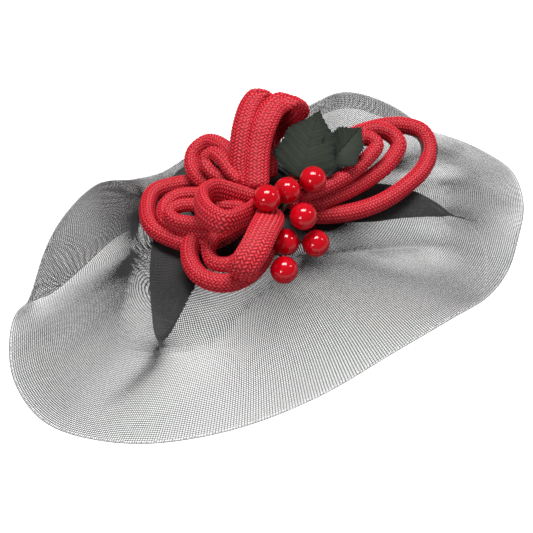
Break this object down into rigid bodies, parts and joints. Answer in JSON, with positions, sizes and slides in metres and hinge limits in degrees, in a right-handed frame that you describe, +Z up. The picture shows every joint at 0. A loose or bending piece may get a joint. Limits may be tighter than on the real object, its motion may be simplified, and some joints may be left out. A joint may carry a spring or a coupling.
{
  "type": "fascinator headpiece",
  "caption": "Fascinator headpiece: fluted see-through crin brim on a round base, with braid loops, berries, leaves and a sprung hair clip under the base.",
  "frame": {"origin": "centre of the base's rim plane, where the base sits on the head", "axes": "+X along the brim's long axis to the wearer's side with the long loops, +Y away from the wide front lobe, +Z up out of the crown"},
  "size_m": [0.3055, 0.1983, 0.0842],
  "materials": {
    "crin_mesh": "see-through mesh",
    "black_felt": "matte",
    "black_satin": "satin",
    "red_braid": "woven",
    "berry_lacquer": "gloss",
    "wire_wrap": "matte",
    "leaf_cloth": "matte",
    "stem_tape": "matte",
    "spring_steel": "nickel plated"
  },
  "bodies": {
    "headpiece": {"base_binding": "black_satin", "base_lining": "black_satin", "base_shell": "black_felt", "berry_1": "berry_lacquer", "berry_2": "berry_lacquer", "berry_3": "berry_lacquer", "berry_4": "berry_lacquer", "berry_5": "berry_lacquer", "berry_6": "berry_lacquer", "berry_7": "berry_lacquer", "berry_wire_1": "wire_wrap", "berry_wire_2": "wire_wrap", "berry_wire_3": "wire_wrap", "berry_wire_4": "wire_wrap", "berry_wire_5": "wire_wrap", "berry_wire_6": "wire_wrap", "berry_wire_7": "wire_wrap", "clip_patch": "black_satin", "clip_pin": "spring_steel", "clip_plate": "spring_steel", "clip_spring": "spring_steel", "crin_brim": "crin_mesh", "gather_band": "black_felt", "leaf_broad": "leaf_cloth", "leaf_broad_stem": "stem_tape", "leaf_side": "leaf_cloth", "leaf_side_stem": "stem_tape", "loop_centre_left": "red_braid", "loop_left_inner": "red_braid", "loop_left_middle": "red_braid", "loop_left_outer": "red_braid", "loop_lower_inner": "red_braid", "loop_lower_outer": "red_braid", "loop_lower_right": "red_braid", "loop_right_inner": "red_braid", "loop_right_middle": "red_braid", "loop_right_outer": "red_braid", "loop_top_left": "red_braid", "loop_top_right": "red_braid", "loop_upper_left_inner": "red_braid", "loop_upper_left_outer": "red_braid", "stem_binding": "stem_tape", "trim_pad": "black_satin"},
    "jaw": {"clip_jaw": "spring_steel"}
  },
  "joints": [
    {"name": "clip_jaw_hinge", "type": "hinge", "parent": "headpiece", "child": "jaw", "pos_m": [0.008, 0, -0.0016], "axis": [0, -1, 0], "range_deg": [0, 24], "stiffness_Nm_per_rad": 0.02, "springref_deg": -17.19}
  ]
}
